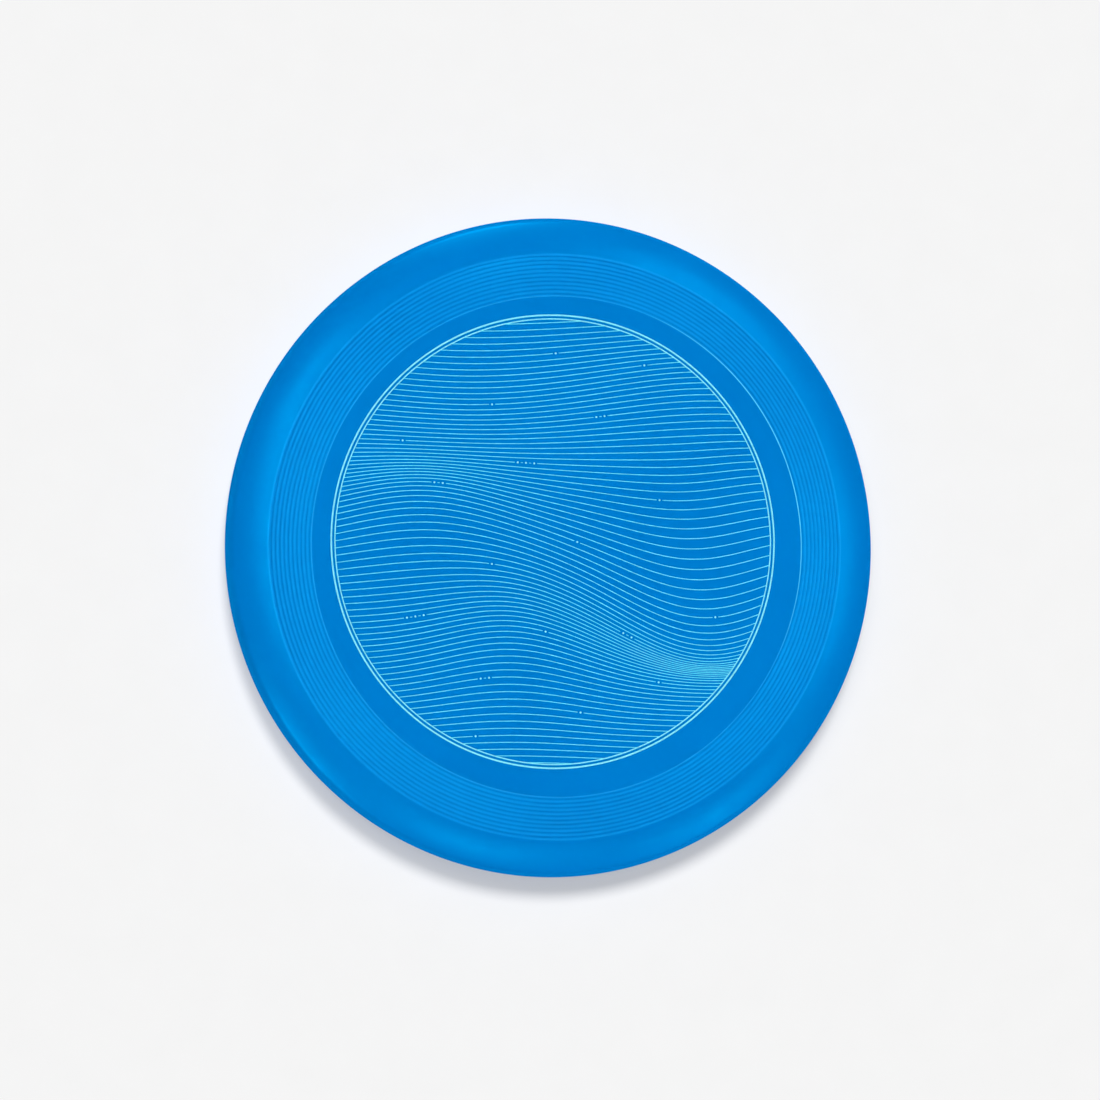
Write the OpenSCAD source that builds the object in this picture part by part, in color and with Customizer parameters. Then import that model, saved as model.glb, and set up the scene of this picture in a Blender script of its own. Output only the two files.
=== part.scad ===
// Flying disc: a one-piece moulded plastic disc with flight ridges, and a thin print on its plate.
// Z is the spin axis, with the dome up. The origin is on the axis, in the plane that the rim rests on.
// X runs to the right of the print and Y to its top. Millimetres.

/* [Overall size] */
// Diameter at the widest point of the rim
disc_d = 235; // [230:0.5:245]
// Height from the rim's lip to the top of the plate
disc_h = 25; // [24:0.5:26]

/* [Plate and shoulder] */
// Thickness of the plate, the ridged band and the shoulder
wall_t = 1.6; // [1.4:0.1:2.2]
// Diameter of the flat middle of the plate
flat_d = 172; // [168:1:176]
// Radius of the gentle curve that carries the ridges
crown_r = 84; // [80:1:95]
// Radius of the shoulder outside the ridges
shoulder_r = 40; // [36:1:44]
// Radius of the tighter curve at the edge of the disc
edge_r = 4.3; // [2.5:0.1:9]

/* [Flight ridges] */
// Number of ridges
ridge_count = 11; // [5:1:13]
// Diameter of the innermost ridge
ridge_in_d = 178; // [177:0.5:190]
// Diameter of the outermost ridge
ridge_out_d = 207.8; // [204:0.2:210]
// Depth of the grooves between the ridges
groove_depth = 0.2; // [0.1:0.01:0.25]
// Width of each groove
groove_w = 1; // [0.7:0.05:1.1]

/* [Rim] */
// Thickness of the rim, from its inner wall at the lip to its widest point
rim_w = 5.6; // [5.4:0.1:7.5]
// Radius of the outside wall below the widest point
wall_r = 50; // [44:1:60]
// Radius of the lip's outer corner
lip_out_r = 2; // [1.5:0.1:2.5]
// Radius of the lip's inner corner
lip_in_r = 1.2; // [0.8:0.1:1.5]
// Radius of the fillet between the rim and the underside
fillet_r = 5; // [3:0.5:6]
// Draft of the rim's inner wall, in degrees
draft = 1.5; // [0.5:0.5:3]

/* [Moulding gate] */
// Diameter of the shallow dish under the middle of the plate
gate_dish_d = 12; // [8:1:20]
// Depth of that dish
gate_dish_depth = 0.3; // [0.1:0.1:0.5]
// Diameter of the trimmed nub in the dish
gate_nub_d = 2.6; // [1.5:0.1:4]

/* [Print] */
// Outer diameter of the print's border
print_d = 161.4; // [140:0.2:162]
// How far the print sits off the axis, to its right
print_right = -1.5; // [-1.6:0.1:1.6]
// How far the print sits off the axis, towards its top
print_up = 1.7; // [0:0.1:1.7]
// Width of the border's outer line
border_out_w = 0.55; // [0.4:0.05:1.5]
// Gap between the border's two lines
border_gap = 0.85; // [0.3:0.05:1]
// Width of the border's inner line
border_in_w = 0.4; // [0.3:0.05:1]
// Thickness of the ink
ink_t = 0.06; // [0.05:0.01:0.1]
// Number of wave lines
line_count = 78; // [40:1:78]
// Width of a wave line
line_w = 0.26; // [0.2:0.02:0.36]
// Diameter of a dot
dot_d = 0.7; // [0.6:0.05:1.2]
// Clear length of line on each side of a dot's middle
dot_gap = 1.1; // [0.8:0.1:1.5]
// Distance between the dots of a group
dot_pitch = 3; // [2.8:0.1:4]

/* [Hidden] */

disc_r = disc_d / 2;
rim_in_r = disc_r - rim_w;
flat_r = flat_d / 2;
arc_steps = 10;

// The outside runs as tangent arcs: crown, shoulder, edge, wall and lip. Slopes are from the horizontal.
// An arc that touches the inside of the shoulder's arc has its middle as far from shoulder_c as their
// radii differ, which gives the middle's height.
crown_slope = asin((ridge_out_d / 2 - flat_r) / crown_r);
crown_c = [flat_r, disc_h - crown_r];
shoulder_c = crown_c + (crown_r - shoulder_r) * slope_dir(crown_slope);
edge_c_r = disc_r - edge_r;
edge_c = [edge_c_r, touch_y(edge_c_r, shoulder_r - edge_r)];
edge_slope = atan2(edge_c.x - shoulder_c.x, edge_c.y - shoulder_c.y);
wall_c = [disc_r - wall_r, edge_c.y];
wall_turn = asin((wall_c.y - lip_out_r) / (wall_r - lip_out_r));
lip_out_c = wall_c + (wall_r - lip_out_r) * slope_dir(90 + wall_turn);
lip_in_c = [rim_in_r + lip_in_r, lip_in_r];

// The inside keeps the wall's thickness under the shoulder, then turns down the rim through a fillet.
under_shoulder_r = shoulder_r - wall_t;
fillet_c_r = rim_in_r - (disc_h - 2 * fillet_r) * tan(draft) - fillet_r / cos(draft);
fillet_c = [fillet_c_r, touch_y(fillet_c_r, under_shoulder_r - fillet_r)];
fillet_slope = atan2(fillet_c.x - shoulder_c.x, fillet_c.y - shoulder_c.y);

// Each groove is a round cut, sized from its width and depth.
groove_r = (pow(groove_w / 2, 2) + pow(groove_depth, 2)) / (2 * groove_depth);
ridge_pitch = (ridge_out_d - ridge_in_d) / 2 / (ridge_count - 1);

// The print's rings, from outside to inside, as radii.
border_out_in_r = print_d / 2 - border_out_w;
border_in_out_r = border_out_in_r - border_gap;
field_r = border_in_out_r - border_in_w;

// The wave lines lie level across the field until soft pushes move them up or down. A push is its
// middle across, its middle up, its width across, its width up and its height, as shares of field_r.
pushes = [
    [0.72, -0.15, 0.54, 0.35, -0.30],
    [-0.62, 0.06, 0.50, 0.26, 0.135],
    [-0.20, -0.52, 0.42, 0.34, 0.11],
    [-0.40, 0.75, 0.60, 0.35, -0.06],
    [0.70, 0.66, 0.50, 0.28, 0.06],
    [0.95, 0.20, 0.30, 0.25, 0.05]
];
line_steps = 36;
line_reach = 1.02;

// Every fourth line carries one group of dots, and the golden ratio scatters the groups across.
group_every = 4;
golden = 0.618034;
group_count = floor(line_count / group_every) - 1;

// Height of the middle of an arc at distance r from the axis that touches the inside of the shoulder
function touch_y(r, radius_gap) = shoulder_c.y + sqrt(pow(radius_gap, 2) - pow(r - shoulder_c.x, 2));

// Direction away from an arc's middle where the surface falls at this slope
function slope_dir(slope) = [sin(slope), cos(slope)];

// Points along an arc between two slopes, both ends included
function arc(centre, radius, from, to, steps = arc_steps) =
    [for (i = [0:steps]) centre + radius * slope_dir(from + (to - from) * i / steps)];

// The disc's section from the axis outward, down round the rim and back along the underside
function section() = concat(
    [[0, disc_h]],
    arc(crown_c, crown_r, 0, crown_slope),
    arc(shoulder_c, shoulder_r, crown_slope, edge_slope),
    arc(edge_c, edge_r, edge_slope, 90),
    arc(wall_c, wall_r, 90, 90 + wall_turn),
    arc(lip_out_c, lip_out_r, 90 + wall_turn, 180),
    arc(lip_in_c, lip_in_r, 180, 270 - draft),
    arc(fillet_c, fillet_r, 90 - draft, fillet_slope),
    arc(shoulder_c, under_shoulder_r, fillet_slope, crown_slope),
    arc(crown_c, crown_r - wall_t, crown_slope, 0),
    [[0, disc_h - wall_t]]
);

// Slope of the crown halfway between ridge i and the next one
function groove_slope(i) = asin((ridge_in_d / 2 + (i + 0.5) * ridge_pitch - flat_r) / crown_r);

// Height of a wave line above the middle of the print, where x and level are shares of field_r
function wave_y(x, level) = level + sum([for (p = pushes)
    p[4] * exp(-pow((x - p[0]) / p[2], 2) - pow((level - p[1]) / p[3], 2))]);
function sum(list, i = 0) = i < len(list) ? list[i] + sum(list, i + 1) : 0;

// Level of line k far from every push
function level(k) = line_reach * (2 * (k + 0.5) / line_count - 1);

// A point on line k in millimetres, and the direction across the line there
function wave_point(x, k) = field_r * [x / field_r, wave_y(x / field_r, level(k))];
function wave_across(x, k) = let (d = wave_point(x + 0.5, k) - wave_point(x - 0.5, k))
    [-d.y, d.x] / norm(d);

// Number of dots in group i, and the places across of the dots on line k
function group_size(i) = i % 4 == 2 ? 2 : (i % 7 == 5 ? 3 : 1);
function group_x(i) = let (level_i = level(group_every * (i + 1)), share = i * golden)
    0.84 * field_r * sqrt(1 - level_i * level_i) * (2 * (share - floor(share)) - 1);
function dots_on(k) = let (i = k / group_every - 1)
    i == floor(i) && i >= 0 && i < group_count
        ? [for (j = [0:group_size(i) - 1]) group_x(i) + dot_pitch * (j - (group_size(i) - 1) / 2)]
        : [];

// The stretches of line k that are left between its dots
function stretches(k) = let (
        starts = concat([-field_r], [for (x = dots_on(k)) x + dot_gap]),
        ends = concat([for (x = dots_on(k)) x - dot_gap], [field_r])
    ) [for (i = [0:len(starts) - 1]) [starts[i], ends[i]]];

module ring(outer_r, width) {
    difference() {
        circle(r = outer_r);
        circle(r = outer_r - width);
    }
}

module on_plate() {
    translate([print_right, print_up, disc_h])
        linear_extrude(ink_t)
            children();
}

module wave_stretch(k, from, to) {
    steps = max(1, round(line_steps * (to - from) / (2 * field_r)));
    xs = [for (i = [0:steps]) from + (to - from) * i / steps];
    polygon(concat(
        [for (x = xs) wave_point(x, k) + line_w / 2 * wave_across(x, k)],
        [for (i = [steps:-1:0]) wave_point(xs[i], k) - line_w / 2 * wave_across(xs[i], k)]
    ));
}

module groove_cuts() {
    for (i = [0:ridge_count - 2])
        translate(crown_c + (crown_r + groove_r - groove_depth) * slope_dir(groove_slope(i)))
            circle(r = groove_r, $fn = 64);
}

module disc_body() {
    color("#0080d4") {
        difference() {
            rotate_extrude($fn = 360)
                difference() {
                    polygon(section());
                    groove_cuts();
                }
            translate([0, 0, disc_h - wall_t - 1])
                cylinder(d = gate_dish_d, h = 1 + gate_dish_depth, $fn = 96);
        }
        translate([0, 0, disc_h - wall_t])
            cylinder(d = gate_nub_d, h = wall_t / 2, $fn = 48);
    }
}

module print_border_outer() {
    color("#7fdcf5")
        on_plate()
            ring(print_d / 2, border_out_w, $fn = 360);
}

module print_border_inner() {
    color("#7fdcf5")
        on_plate()
            ring(border_in_out_r, border_in_w, $fn = 360);
}

module print_wave_lines() {
    color("#58c4f2")
        on_plate()
            intersection() {
                circle(r = field_r, $fn = 360);
                for (k = [0:line_count - 1])
                    for (s = stretches(k))
                        wave_stretch(k, s[0], s[1]);
            }
}

module print_dots() {
    color("#9be6f7")
        on_plate()
            for (k = [0:line_count - 1])
                for (x = dots_on(k))
                    translate(wave_point(x, k))
                        circle(d = dot_d, $fn = 32);
}

disc_body();
print_border_outer();
print_border_inner();
print_wave_lines();
print_dots();
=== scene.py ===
import math

import bpy
import numpy as np
from mathutils import Matrix, Vector


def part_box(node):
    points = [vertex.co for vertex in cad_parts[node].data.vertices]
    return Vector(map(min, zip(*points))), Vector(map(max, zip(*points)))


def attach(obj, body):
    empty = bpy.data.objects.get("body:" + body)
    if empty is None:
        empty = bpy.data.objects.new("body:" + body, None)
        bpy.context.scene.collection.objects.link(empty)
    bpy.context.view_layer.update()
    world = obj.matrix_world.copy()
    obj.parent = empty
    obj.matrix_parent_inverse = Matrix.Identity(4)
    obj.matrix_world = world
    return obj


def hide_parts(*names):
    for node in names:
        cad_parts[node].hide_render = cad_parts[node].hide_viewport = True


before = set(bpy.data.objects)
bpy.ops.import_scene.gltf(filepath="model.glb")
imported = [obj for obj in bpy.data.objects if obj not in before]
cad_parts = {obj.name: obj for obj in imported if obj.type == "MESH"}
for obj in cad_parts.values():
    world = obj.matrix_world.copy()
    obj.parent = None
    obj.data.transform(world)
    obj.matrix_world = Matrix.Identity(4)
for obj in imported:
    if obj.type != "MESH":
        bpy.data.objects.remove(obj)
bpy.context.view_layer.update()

# ---------------------------------------------------------------- sizes
# Sizes are in millimetres and angles in degrees. The outer sizes of the disc and of the print come
# from the frame. The rest follows the CAD design, with slightly deeper grooves.
MM = 0.001
disc_low, disc_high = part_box("disc_body")
DISC_R = disc_high.x / MM
DISC_H = disc_high.z / MM

# The moulding's section: plate, crown, shoulder, edge, wall, lip and the fillet inside.
WALL_T = 1.6
FLAT_R = 86.0
CROWN_R = 84.0
SHOULDER_R = 40.0
EDGE_R = 4.3
RIM_W = 5.6
WALL_R = 50.0
LIP_OUT_R = 2.0
LIP_IN_R = 1.2
FILLET_R = 5.0
DRAFT = 1.5

# The ridges, and how sharply the grooves between them narrow towards their bottom.
RIDGE_COUNT = 11
RIDGE_IN_R = 89.0
RIDGE_OUT_R = 103.9
RIDGE_PITCH = (RIDGE_OUT_R - RIDGE_IN_R) / (RIDGE_COUNT - 1)
GROOVE_DEPTH = 0.24
VALLEY_POWER = 2.0

# The gate's dish and nub under the middle, and the parting line round the widest point.
GATE_DISH_R = 6.0
GATE_DISH_DEPTH = 0.3
GATE_NUB_R = 1.3
PARTING_H = 0.03
PARTING_W = 0.35
PLAIN_WALL_START = 91.0

# The print: two border lines round a field of wave lines, with dots in breaks of the lines. It sits
# a little off the disc's axis.
border_low, border_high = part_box("print_border_outer")
PRINT_RIGHT = -1.5
PRINT_UP = 1.7
BORDER_OUT_R = (border_high.x - border_low.x) / 2 / MM
BORDER_OUT_W = 0.55
BORDER_GAP = 0.85
BORDER_IN_W = 0.4
BORDER_IN_R = BORDER_OUT_R - BORDER_OUT_W - BORDER_GAP
FIELD_R = BORDER_IN_R - BORDER_IN_W
INK_T = 0.06
LINE_COUNT = 78
LINE_W = 0.26
LINE_REACH = 1.02
LINE_OVERLAP = 0.12
DOT_R = 0.35
DOT_GAP = 1.1
DOT_PITCH = 3.0
DOT_SPREAD = 0.84
GROUP_EVERY = 4
GOLDEN = 0.618034

# The wave lines lie level until soft pushes move them: middle across, middle up, width across,
# width up and height of each push, as shares of the field's radius.
PUSHES = [
    (0.72, -0.15, 0.54, 0.35, -0.30),
    (-0.62, 0.06, 0.50, 0.26, 0.135),
    (-0.20, -0.52, 0.42, 0.34, 0.11),
    (-0.40, 0.75, 0.60, 0.35, -0.06),
    (0.70, 0.66, 0.50, 0.28, 0.06),
    (0.95, 0.20, 0.30, 0.25, 0.05),
]

# How finely the meshes are divided: round a turned shape, across one ridge, between the plate's
# rings in millimetres, along a line where its ends are looked for, and round a dot.
ROUND_STEPS = 360
RIDGE_STEPS = 12
PLATE_STEP = 8.0
STEPS_PER_MM = 4
SHORTEST_LINE_STEPS = 8
DOT_STEPS = 28

# ---------------------------------------------------------------- looks
# Colours are linear. The plastic's gloss and the ink's are tinted, so that highlights stay blue.
PLASTIC_DARK = (0.0, 0.182, 0.592, 1)
PLASTIC_LIGHT = (0.0, 0.194, 0.622, 1)
# Painted highlight: the tops of the flight ridges are painted in this paler blue.
RIDGE_HIGHLIGHT_COLOUR = (0.004, 0.27, 0.74, 1)
# Painted glint: a thin bright line along the innermost ridge's inner edge.
EDGE_GLINT_COLOUR = (0.12, 0.75, 1.0, 1)
PLASTIC_GLOSS = (0.0, 0.55, 1.0, 1)
GLOSS_SHARE = 0.08
TURNED_MARK_PITCH = 0.7
# The painted glint on the innermost ridge's inner edge is strongest in this direction from the axis.
GLINT_SIDE = (0.93, 0.37, 0)
BORDER_INK_COLOURS = (0.20, 0.80, 0.92, 1), (0.25, 0.86, 0.97, 1)
LINE_INK_COLOURS = (0.10, 0.78, 0.95, 1), (0.15, 0.84, 0.99, 1)
INK_GLOSS = (0.1, 0.7, 1.0, 1)
FLOOR_DARK = (0.445, 0.445, 0.445, 1)
FLOOR_LIGHT = (0.455, 0.455, 0.455, 1)
FLOOR_GLOW = 0.405
FLOOR_SIZE = 12.0
BACKDROP = (0.921, 0.921, 0.921, 1)

# The view: turned and leant from straight above, in degrees, with its distance, the width that it
# takes in at the disc and the place that it aims at beside the disc's middle, in metres.
VIEW_YAW = 12.4
VIEW_LEAN = 2.0
VIEW_DISTANCE = 2.0
FRAME_WIDTH = 0.3926
AIM_ACROSS = -0.0004
AIM_UP = -0.0009


# ---------------------------------------------------------------- mesh helpers
def make_piece(name, verts_mm, faces, material):
    """A smooth-shaded mesh object from vertices in millimetres."""
    mesh = bpy.data.meshes.new(name)
    mesh.from_pydata([tuple(v) for v in np.asarray(verts_mm) * MM], [], faces)
    mesh.validate()
    mesh.shade_smooth()
    mesh.materials.append(material)
    piece = bpy.data.objects.new(name, mesh)
    bpy.context.scene.collection.objects.link(piece)
    return piece


def finish_piece(piece, node):
    """The piece takes the place of its CAD node and rides on the one body."""
    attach(piece, "root")
    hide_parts(node)


def revolve(section, closed, centre=(0.0, 0.0)):
    """Vertices and faces of an outline turned about an upright axis through the centre given.

    A closed outline makes a ring. An open one starts and ends on the axis.
    """
    angles = np.linspace(0, 2 * math.pi, ROUND_STEPS, endpoint=False)
    cos, sin = np.cos(angles), np.sin(angles)
    rings = section if closed else section[1:-1]
    verts = np.concatenate([
        np.stack([r * cos + centre[0], r * sin + centre[1], np.full_like(cos, z)], 1) for r, z in rings
    ])
    after = np.roll(np.arange(ROUND_STEPS), -1)
    faces = []
    for i in range(len(rings) if closed else len(rings) - 1):
        a, b = i * ROUND_STEPS, ((i + 1) % len(rings)) * ROUND_STEPS
        faces += [(a + j, b + j, b + k, a + k) for j, k in enumerate(after)]
    if not closed:
        top, bottom = len(verts), len(verts) + 1
        ends = [[*centre, section[0][1]], [*centre, section[-1][1]]]
        verts = np.concatenate([verts, ends])
        last = (len(rings) - 1) * ROUND_STEPS
        faces += [(top, j, k) for j, k in enumerate(after)]
        faces += [(bottom, last + k, last + j) for j, k in enumerate(after)]
    return verts, faces


# ---------------------------------------------------------------- the moulding
def slope_dir(slope):
    """Direction away from an arc's middle where the surface falls at this slope, in degrees."""
    return np.array([math.sin(math.radians(slope)), math.cos(math.radians(slope))])


def arc(centre, radius, start, end, steps):
    """Points along an arc between two slopes, both ends included."""
    return [centre + radius * slope_dir(s) for s in np.linspace(start, end, steps + 1)]


def touching_centre(x, shoulder_c, radius_gap):
    """Middle, at distance x from the axis, of an arc that touches the shoulder's arc from inside."""
    return np.array([x, shoulder_c[1] + math.sqrt(radius_gap ** 2 - (x - shoulder_c[0]) ** 2)])


def slope_between(start, end):
    """Slope, in degrees, at which two touching arcs with these middles meet."""
    return math.degrees(math.atan2(end[0] - start[0], end[1] - start[1]))


def groove_depth_at(radius):
    """Depth below the ridges' tops at this distance from the axis: rounded ribs with tight valleys."""
    share = (radius - RIDGE_IN_R) / RIDGE_PITCH
    if not 0 <= share < RIDGE_COUNT - 1:
        return 0.0
    off = 2 * abs(share % 1 - 0.5)
    return GROOVE_DEPTH * (1 - off) ** VALLEY_POWER


def disc_section():
    """The moulding's outline from the middle of the top, round the rim, to the middle underneath."""
    crown_slope = math.degrees(math.asin((RIDGE_OUT_R - FLAT_R) / CROWN_R))
    crown_c = np.array([FLAT_R, DISC_H - CROWN_R])
    shoulder_c = crown_c + (CROWN_R - SHOULDER_R) * slope_dir(crown_slope)
    edge_c = touching_centre(DISC_R - EDGE_R, shoulder_c, SHOULDER_R - EDGE_R)
    edge_slope = slope_between(shoulder_c, edge_c)
    wall_c = np.array([DISC_R - WALL_R, edge_c[1]])
    wall_turn = math.degrees(math.asin((wall_c[1] - LIP_OUT_R) / (WALL_R - LIP_OUT_R)))
    lip_out_c = wall_c + (WALL_R - LIP_OUT_R) * slope_dir(90 + wall_turn)
    rim_in_r = DISC_R - RIM_W
    lip_in_c = np.array([rim_in_r + LIP_IN_R, LIP_IN_R])
    under_r = SHOULDER_R - WALL_T
    draft = math.radians(DRAFT)
    fillet_x = rim_in_r - (DISC_H - 2 * FILLET_R) * math.tan(draft) - FILLET_R / math.cos(draft)
    fillet_c = touching_centre(fillet_x, shoulder_c, under_r - FILLET_R)
    fillet_slope = slope_between(shoulder_c, fillet_c)

    top = [np.array([r, DISC_H]) for r in np.arange(0, FLAT_R, PLATE_STEP)]
    ridges = np.linspace(RIDGE_IN_R, RIDGE_OUT_R, (RIDGE_COUNT - 1) * RIDGE_STEPS + 1)
    crown = []
    for radius in [*np.linspace(FLAT_R, RIDGE_IN_R, 4, endpoint=False), *ridges]:
        slope = math.degrees(math.asin((radius - FLAT_R) / CROWN_R))
        crown.append(crown_c + (CROWN_R - groove_depth_at(radius)) * slope_dir(slope))
    parting = [wall_c + (WALL_R + rise) * slope_dir(90 + turn) for turn, rise in parting_line()]
    inner_wall_top = fillet_c + FILLET_R * slope_dir(90 - DRAFT)
    lip_in = arc(lip_in_c, LIP_IN_R, 180, 270 - DRAFT, 8)
    inner_wall = [lip_in[-1] + (inner_wall_top - lip_in[-1]) * s for s in (0.25, 0.5, 0.75)]
    return (
        top + crown
        + arc(shoulder_c, SHOULDER_R, crown_slope, edge_slope, 16)[1:]
        + arc(edge_c, EDGE_R, edge_slope, 90, 20)[1:-1]
        + parting
        + arc(wall_c, WALL_R, PLAIN_WALL_START, 90 + wall_turn, 8)
        + arc(lip_out_c, LIP_OUT_R, 90 + wall_turn, 180, 8)[1:]
        + lip_in + inner_wall
        + arc(fillet_c, FILLET_R, 90 - DRAFT, fillet_slope, 12)
        + arc(shoulder_c, under_r, fillet_slope, crown_slope, 8)[1:]
        + arc(crown_c, CROWN_R - WALL_T, crown_slope, 0, 8)[1:]
        + underside()
    )


def parting_line():
    """Turn and rise of the points across the faint line where the mould's halves meet."""
    half_turn = math.degrees(PARTING_W / 2 / WALL_R)
    return [(half_turn * s, PARTING_H * (1 - s * s)) for s in np.linspace(-1, 1, 9)]


def underside():
    """The flat underside from the crown inward, with the gate's dish and its trimmed nub.

    The small offsets soften the corners of the dish and the nub.
    """
    flat = DISC_H - WALL_T
    dish = flat + GATE_DISH_DEPTH
    rings = [(r, flat) for r in np.arange(FLAT_R - PLATE_STEP / 2, GATE_DISH_R + 1, -PLATE_STEP)]
    rings += [(GATE_DISH_R + 0.25, flat), (GATE_DISH_R + 0.08, flat + 0.02)]
    rings += [(GATE_DISH_R - 0.05, flat + 0.1), (GATE_DISH_R - 0.2, dish - 0.05)]
    rings += [(GATE_DISH_R - 0.4, dish), (GATE_NUB_R + 0.5, dish), (GATE_NUB_R + 0.2, dish - 0.03)]
    rings += [(GATE_NUB_R + 0.05, dish - 0.1), (GATE_NUB_R, flat + 0.08)]
    rings += [(GATE_NUB_R - 0.1, flat + 0.01), (GATE_NUB_R - 0.3, flat), (0, flat + 0.05)]
    return [np.array(p) for p in rings]


# ---------------------------------------------------------------- the print
def wave_point(x, k):
    """Centre of wave line k at x, in millimetres from the print's middle."""
    level = line_level(k)
    share = np.asarray(x) / FIELD_R
    y = np.full_like(share, level)
    for across, up, wide, tall, height in PUSHES:
        y += height * np.exp(-((share - across) / wide) ** 2 - ((level - up) / tall) ** 2)
    return np.stack([x, y * FIELD_R], -1)


def line_level(k):
    """Where line k would lie without pushes, as a share of the field's radius."""
    return LINE_REACH * (2 * (k + 0.5) / LINE_COUNT - 1)


def dots_on(k):
    """The places across of the dots on line k: every fourth line has a group of one to three."""
    i = k // GROUP_EVERY - 1
    if k % GROUP_EVERY or not 0 <= i < LINE_COUNT // GROUP_EVERY - 1:
        return []
    size = 2 if i % 4 == 2 else 3 if i % 7 == 5 else 1
    share = i * GOLDEN % 1
    middle = DOT_SPREAD * FIELD_R * math.sqrt(1 - line_level(k) ** 2) * (2 * share - 1)
    return [middle + DOT_PITCH * (j - (size - 1) / 2) for j in range(size)]


def stretches(k):
    """Both ends across of each stretch of line k between its dots and the border's inner line."""
    stops = [-FIELD_R] + [x + s * DOT_GAP for x in dots_on(k) for s in (-1, 1)] + [FIELD_R]
    for start, end in zip(stops[::2], stops[1::2]):
        x = np.linspace(start, end, max(3, int(end - start)) * STEPS_PER_MM)
        inside = np.hypot(*wave_point(x, k).T) < FIELD_R + LINE_OVERLAP
        edges = np.flatnonzero(np.diff(np.concatenate([[0], inside.astype(int), [0]])))
        for first, last in zip(edges[::2], edges[1::2]):
            if last - first > SHORTEST_LINE_STEPS:
                yield x[first], x[last - 1]


def ink_profile(width):
    """Across and up values of a line of ink: flat underneath, with soft edges and a low crown."""
    across = np.array([-1.0, -0.94, -0.75, -0.35, 0.0, 0.35, 0.75, 0.94, 1.0])
    up = np.array([0.0, 0.5, 0.86, 0.98, 1.0, 0.98, 0.86, 0.5, 0.0])
    return across * width / 2, up * INK_T


def ribbon(x, k):
    """Vertices and faces of one closed strip of ink along line k, whose width wavers slightly."""
    points = wave_point(x, k)
    ahead = wave_point(x + 0.05, k) - wave_point(x - 0.05, k)
    ahead /= np.linalg.norm(ahead, axis=1)[:, None]
    side = np.stack([-ahead[:, 1], ahead[:, 0]], -1)
    width = LINE_W * (1 + 0.05 * np.sin(x * 0.9 + 1.7 * k) + 0.03 * np.sin(x * 2.3 + 0.6 * k))
    across, up = ink_profile(1.0)
    flat = points[:, None] + side[:, None] * (across[None, :, None] * width[:, None, None])
    height = np.broadcast_to(up + DISC_H, flat.shape[:2])
    verts = np.concatenate([flat, height[:, :, None]], 2).reshape(-1, 3)
    verts[:, :2] += (PRINT_RIGHT, PRINT_UP)
    count, ring = len(x), len(across)
    faces = [
        (i * ring + j, i * ring + (j + 1) % ring, (i + 1) * ring + (j + 1) % ring, (i + 1) * ring + j)
        for i in range(count - 1) for j in range(ring)
    ]
    faces.append(tuple(range(ring))[::-1])
    faces.append(tuple(range((count - 1) * ring, count * ring)))
    return verts, faces


def dot_dome(x, y):
    """Vertices and faces of one round spot of ink, with a rounded edge."""
    rings = [(1.0, 0.0), (0.96, 0.5), (0.84, 0.85), (0.5, 0.98)]
    x, y = x + PRINT_RIGHT, y + PRINT_UP
    verts = [
        (x + DOT_R * r * math.cos(a), y + DOT_R * r * math.sin(a), DISC_H + INK_T * h)
        for r, h in rings for a in np.linspace(0, 2 * math.pi, DOT_STEPS, endpoint=False)
    ]
    verts.append((x, y, DISC_H + INK_T))
    after = np.roll(np.arange(DOT_STEPS), -1)
    faces = []
    for i in range(len(rings) - 1):
        a, b = i * DOT_STEPS, (i + 1) * DOT_STEPS
        faces += [(a + j, a + k, b + k, b + j) for j, k in enumerate(after)]
    last = (len(rings) - 1) * DOT_STEPS
    faces += [(last + j, last + k, len(verts) - 1) for j, k in enumerate(after)]
    faces.append(tuple(range(DOT_STEPS))[::-1])
    return verts, faces


def joined(parts):
    """Many small meshes as one list of vertices and one of faces."""
    verts, faces = [], []
    for part_verts, part_faces in parts:
        base = len(verts)
        verts.extend(part_verts)
        faces.extend(tuple(base + i for i in face) for face in part_faces)
    return np.array(verts), faces


def border_ring(outer_r, width):
    """Vertices and faces of one circular line of ink round the print."""
    across, up = ink_profile(width)
    section = [(outer_r - width / 2 + a, DISC_H + u) for a, u in zip(across[::-1], up)]
    return revolve(section, True, (PRINT_RIGHT, PRINT_UP))


# ---------------------------------------------------------------- materials
def add_node(tree, kind, inputs=None, **settings):
    """A shader node with its inputs set or linked by name or number."""
    node = tree.nodes.new(kind)
    for key, value in settings.items():
        setattr(node, key, value)
    for key, value in (inputs or {}).items():
        if isinstance(value, bpy.types.NodeSocket):
            tree.links.new(value, node.inputs[key])
        else:
            node.inputs[key].default_value = value
    return node


def new_material(name):
    """An empty node material, with its tree and a socket of object coordinates in metres."""
    material = bpy.data.materials.new(name)
    material.use_nodes = True
    tree = material.node_tree
    tree.nodes.clear()
    place = add_node(tree, "ShaderNodeTexCoord").outputs["Object"]
    return material, tree, place


def noise(tree, place, scale, detail=2.0, roughness=0.5):
    """Soft noise from 0 to 1, with this many patches to the metre."""
    return add_node(tree, "ShaderNodeTexNoise", {
        "Vector": place, "Scale": scale, "Detail": detail, "Roughness": roughness,
    }).outputs["Fac"]


def remap(tree, value, low, high, to_low, to_high):
    """The value carried from one range to another, and held at its ends."""
    return add_node(tree, "ShaderNodeMapRange", {
        "Value": value, "From Min": low, "From Max": high, "To Min": to_low, "To Max": to_high,
    }).outputs["Result"]


def mix_colour(tree, share, first, second):
    """The first colour, with this share of the second."""
    return add_node(tree, "ShaderNodeMix", {0: share, 6: first, 7: second}, data_type="RGBA").outputs[2]


def maths(tree, operation, *values):
    """The result of one Math node."""
    return add_node(tree, "ShaderNodeMath", dict(enumerate(values)), operation=operation).outputs[0]


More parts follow.
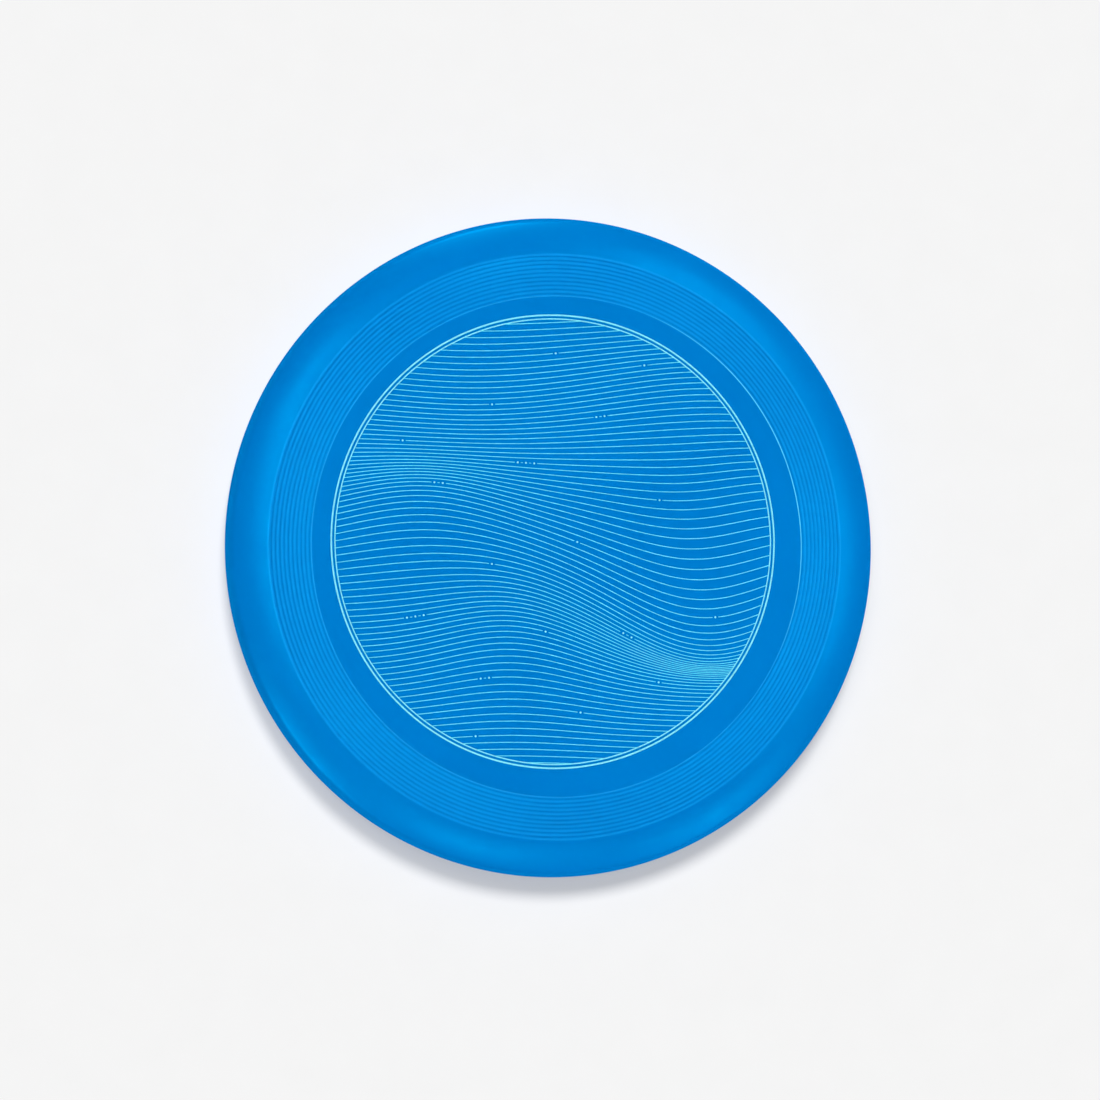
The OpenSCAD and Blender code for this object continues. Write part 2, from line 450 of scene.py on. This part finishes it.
def bump(tree, height, distance, strength=1.0, normal=None):
    """The normal of a surface with this relief, whose full height is distance, in metres."""
    inputs = {"Height": height, "Distance": distance, "Strength": strength}
    if normal is not None:
        inputs["Normal"] = normal
    return add_node(tree, "ShaderNodeBump", inputs).outputs["Normal"]


def finish_shader(tree, inputs):
    """One Principled shader with these inputs as the whole surface."""
    surface = add_node(tree, "ShaderNodeBsdfPrincipled", inputs).outputs["BSDF"]
    add_node(tree, "ShaderNodeOutputMaterial", {"Surface": surface})


def axis_distance(tree, place):
    """Distance from the disc's axis, in metres."""
    flat = add_node(tree, "ShaderNodeVectorMath", {0: place, 1: (1, 1, 0)}, operation="MULTIPLY")
    return add_node(
        tree, "ShaderNodeVectorMath", {0: flat.outputs[0]}, operation="LENGTH").outputs["Value"]


def ridge_highlight_mask(tree, radius):
    """1 on the top of each flight ridge, where a paler painted highlight goes, 0 in the grooves and
    everywhere else.
    """
    count = maths(tree, "DIVIDE", maths(tree, "SUBTRACT", radius, RIDGE_IN_R * MM), RIDGE_PITCH * MM)
    off = maths(tree, "PINGPONG", count, 0.5)
    top = remap(tree, off, 0.10, 0.40, 1, 0)
    inside = remap(tree, count, -0.15, -0.06, 0, 1)
    outside = maths(tree, "LESS_THAN", count, RIDGE_COUNT - 0.5)
    return maths(tree, "MULTIPLY", top, maths(tree, "MULTIPLY", inside, outside))


def painted_edge_glint(tree, place, radius):
    """A thin painted glint on the inner edge of the innermost ridge, from 0 to 1."""
    away = maths(tree, "ABSOLUTE", maths(tree, "SUBTRACT", radius, RIDGE_IN_R * MM))
    line = remap(tree, away, 0.07 * MM, 0.20 * MM, 1, 0)
    side = add_node(tree, "ShaderNodeVectorMath", {0: place, 1: GLINT_SIDE}, operation="DOT_PRODUCT")
    glint_side_share = remap(tree, side.outputs["Value"], 0.060, 0.087, 0.08, 1.0)
    patchy = remap(tree, noise(tree, place, 60, 2), 0.35, 0.65, 0.75, 1.0)
    return maths(tree, "MULTIPLY", line, maths(tree, "MULTIPLY", glint_side_share, patchy))


def moulded_plastic():
    """Satin low-density polyethylene: pigment clouding, painted highlights on the ridge tops, a painted
    glint on the innermost ridge's edge, a fine mould texture and turned marks.
    """
    material, tree, place = new_material("moulded_plastic")
    clouds = remap(tree, noise(tree, place, 22, 3), 0.35, 0.65, 0, 1)
    colour = mix_colour(tree, clouds, PLASTIC_DARK, PLASTIC_LIGHT)
    radius = axis_distance(tree, place)
    # Painted highlight: the ridges' tops, found by radius alone, are made paler.
    colour = mix_colour(tree, ridge_highlight_mask(tree, radius), colour, RIDGE_HIGHLIGHT_COLOUR)
    # Painted glint: a thin bright line on the innermost ridge's inner edge, strongest on one side.
    colour = mix_colour(tree, painted_edge_glint(tree, place, radius), colour, EDGE_GLINT_COLOUR)
    turned = maths(tree, "SINE", maths(tree, "MULTIPLY", radius, 2 * math.pi / (TURNED_MARK_PITCH * MM)))
    grain = noise(tree, place, 2600, 2, 0.6)
    peel = noise(tree, place, 420, 1)
    normal = bump(tree, grain, 0.012 * MM, 0.5)
    normal = bump(tree, peel, 0.04 * MM, 0.35, normal)
    normal = bump(tree, turned, 0.0012 * MM, 0.5, normal)
    mottle = noise(tree, place, 160, 4, 0.6)
    rough = remap(tree, mottle, 0.3, 0.7, 0.40, 0.50)
    gloss_rough = remap(tree, mottle, 0.3, 0.7, 0.31, 0.39)
    body = add_node(tree, "ShaderNodeBsdfPrincipled", {
        "Base Color": colour, "Roughness": rough, "IOR": 1.5, "Normal": normal,
        "Specular IOR Level": 0.0,
        "Subsurface Weight": 0.08, "Subsurface Radius": (0.05, 0.8, 1.0), "Subsurface Scale": 0.0006,
    }).outputs["BSDF"]
    sheen = add_node(tree, "ShaderNodeBsdfGlossy", {
        "Color": PLASTIC_GLOSS, "Roughness": gloss_rough, "Normal": normal,
    }).outputs["BSDF"]
    surface = add_node(tree, "ShaderNodeMixShader", {0: GLOSS_SHARE, 1: body, 2: sheen}).outputs[0]
    add_node(tree, "ShaderNodeOutputMaterial", {"Surface": surface})
    return material


def print_ink(name, colour_low, colour_high):
    """Pale cyan ink: slightly uneven cover, a fine screen texture and a little gloss."""
    material, tree, place = new_material(name)
    cover = remap(tree, noise(tree, place, 900, 3, 0.6), 0.35, 0.65, 0, 1)
    colour = mix_colour(tree, cover, colour_low, colour_high)
    normal = bump(tree, noise(tree, place, 3500, 2), 0.008 * MM, 0.5)
    rough = remap(tree, noise(tree, place, 300, 2), 0.3, 0.7, 0.32, 0.44)
    finish_shader(tree, {
        "Base Color": colour, "Roughness": rough, "IOR": 1.48, "Normal": normal,
        "Specular IOR Level": 0.3, "Specular Tint": INK_GLOSS,
    })
    return material


def studio_floor():
    """Matt opal board that glows faintly, with a barely visible grain."""
    material, tree, place = new_material("studio_floor")
    tone = remap(tree, noise(tree, place, 60, 4, 0.6), 0.3, 0.7, 0, 1)
    colour = mix_colour(tree, tone, FLOOR_DARK, FLOOR_LIGHT)
    normal = bump(tree, noise(tree, place, 800, 3), 0.05 * MM, 0.2)
    finish_shader(tree, {
        "Base Color": colour, "Roughness": 0.9, "Specular IOR Level": 0.0, "Normal": normal,
        "Emission Color": (1, 1, 1, 1), "Emission Strength": FLOOR_GLOW,
    })
    return material


# ---------------------------------------------------------------- the pieces
BLUE = moulded_plastic()
BORDER_INK = print_ink("border_ink", *BORDER_INK_COLOURS)
LINE_INK = print_ink("line_ink", *LINE_INK_COLOURS)

moulding = make_piece("disc_moulding", *revolve(disc_section(), False), BLUE)
finish_piece(moulding, "disc_body")

outer_border = make_piece("outer_border_ink", *border_ring(BORDER_OUT_R, BORDER_OUT_W), BORDER_INK)
finish_piece(outer_border, "print_border_outer")

inner_border = make_piece("inner_border_ink", *border_ring(BORDER_IN_R, BORDER_IN_W), BORDER_INK)
finish_piece(inner_border, "print_border_inner")

wave_lines = make_piece("wave_line_ink", *joined(
    ribbon(np.linspace(a, b, max(4, int(b - a))), k)
    for k in range(LINE_COUNT) for a, b in stretches(k)
), LINE_INK)
finish_piece(wave_lines, "print_wave_lines")

dots = make_piece("dot_ink", *joined(
    dot_dome(*wave_point(x, k)) for k in range(LINE_COUNT) for x in dots_on(k)
), BORDER_INK)
finish_piece(dots, "print_dots")

# ---------------------------------------------------------------- stage, light and camera
scene = bpy.context.scene
scene.view_settings.view_transform = "Standard"


def make_floor():
    """A wide flat board in the plane that the rim rests on."""
    half = FLOOR_SIZE / 2
    corners = [(-half, -half, 0), (half, -half, 0), (half, half, 0), (-half, half, 0)]
    mesh = bpy.data.meshes.new("floor")
    mesh.from_pydata(corners, [], [(0, 1, 2, 3)])
    mesh.materials.append(studio_floor())
    board = bpy.data.objects.new("floor", mesh)
    scene.collection.objects.link(board)
    return board


def studio_world():
    """A pale surround that only the camera sees, so that all the light comes from the lamps."""
    world = bpy.data.worlds.new("studio")
    world.use_nodes = True
    tree = world.node_tree
    tree.nodes.clear()
    to_camera = add_node(tree, "ShaderNodeLightPath").outputs["Is Camera Ray"]
    unlit = add_node(tree, "ShaderNodeBackground", {"Color": (0, 0, 0, 1)}).outputs[0]
    back = add_node(tree, "ShaderNodeBackground", {"Color": BACKDROP}).outputs[0]
    both = add_node(tree, "ShaderNodeMixShader", {0: to_camera, 1: unlit, 2: back}).outputs[0]
    add_node(tree, "ShaderNodeOutputWorld", {"Surface": both})
    scene.world = world


def lit_group(name, pieces):
    """A group of pieces that a lamp can be limited to."""
    group = bpy.data.collections.new(name)
    for piece in pieces:
        group.objects.link(piece)
    return group


def soft_lamp(name, from_above, around, strength, spread=18, only=None):
    """A distant soft lamp, placed in degrees down from straight above and round from the print's right.

    With only, the lamp lights just that group.
    """
    down, turn = math.radians(from_above), math.radians(around)
    direction = Vector((math.sin(down) * math.cos(turn), math.sin(down) * math.sin(turn), math.cos(down)))
    light = bpy.data.lights.new(name, "SUN")
    light.energy = strength
    light.angle = math.radians(spread)
    lamp = bpy.data.objects.new(name, light)
    if only:
        lamp.light_linking.receiver_collection = only
    lamp.rotation_euler = direction.to_track_quat("Z", "Y").to_euler()
    scene.collection.objects.link(lamp)


def place_camera(middle):
    """The camera, level with the print and looking at the disc's middle from nearly straight above."""
    yaw, lean = math.radians(VIEW_YAW), math.radians(VIEW_LEAN)
    towards = Vector((-math.sin(yaw) * math.cos(lean), -math.sin(lean), math.cos(yaw) * math.cos(lean)))
    right = Vector((0, 1, 0)).cross(towards).normalized()
    camera_data = bpy.data.cameras.new("camera")
    camera_data.lens = camera_data.sensor_width * VIEW_DISTANCE / FRAME_WIDTH
    camera_data.clip_end = 50
    camera = bpy.data.objects.new("camera", camera_data)
    camera.location = middle + Vector((AIM_ACROSS, AIM_UP, 0)) + towards * VIEW_DISTANCE
    camera.rotation_euler = Matrix((right, towards.cross(right), towards)).transposed().to_euler()
    scene.collection.objects.link(camera)
    scene.camera = camera


floor = make_floor()
studio_world()

# Most lamps light the disc alone, so that the floor keeps one soft shadow, on the print's lower side.
disc_pieces = lit_group("disc_pieces", (moulding, outer_border, inner_border, wave_lines, dots))
floor_alone = lit_group("floor_alone", (floor,))
soft_lamp("left_high", 14, 180, 0.55)
soft_lamp("upper_left_high", 28, 135, 0.60)
soft_lamp("top_low", 74, 90, 1.20, only=disc_pieces)
soft_lamp("right", 43, 0, 0.55, only=disc_pieces)
soft_lamp("upper_right", 43, 45, 0.60, only=disc_pieces)
soft_lamp("bottom", 43, 270, 0.50, only=disc_pieces)
soft_lamp("lower_left", 58, 225, 0.90, only=disc_pieces)
soft_lamp("lower_right", 58, 315, 0.50, only=disc_pieces)
soft_lamp("floor_wash", 26, 100, 2.77, 16, only=floor_alone)

place_camera((disc_low + disc_high) / 2)
